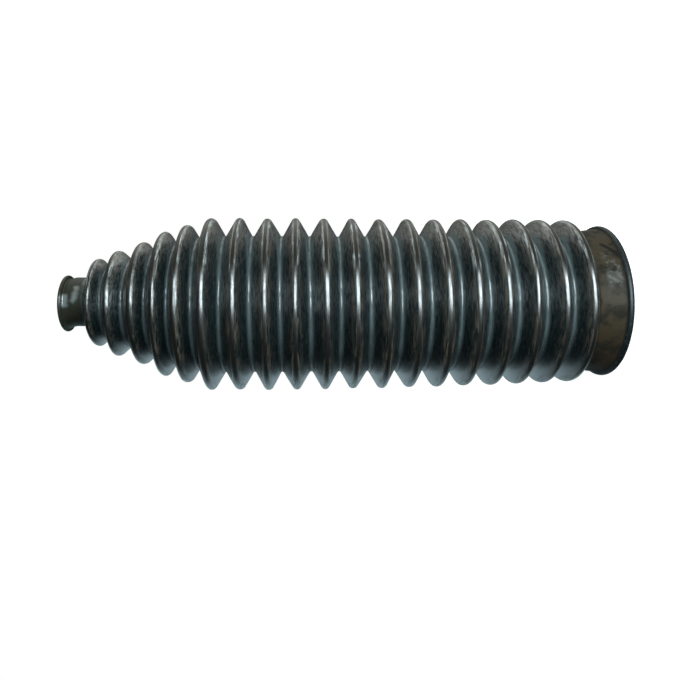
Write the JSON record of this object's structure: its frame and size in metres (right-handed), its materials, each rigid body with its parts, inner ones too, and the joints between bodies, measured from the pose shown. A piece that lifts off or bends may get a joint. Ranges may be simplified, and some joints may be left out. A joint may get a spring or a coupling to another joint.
{
  "type": "steering rack boot",
  "caption": "Black rubber bellows boot with a tapered end and a beaded clip cuff at each mouth.",
  "frame": {"origin": "centre of the large cuff's rim plane, on the boot's axis, at the base", "axes": "+Z along the boot's axis from the large cuff to the small one; X and Y are alike, as the boot is round"},
  "size_m": [0.062, 0.062, 0.1973],
  "materials": {
    "rubber": "black moulded rubber with a soft gloss and faint brown bloom on the large cuff"
  },
  "bodies": {
    "root": {"boot": "rubber"}
  },
  "joints": []
}
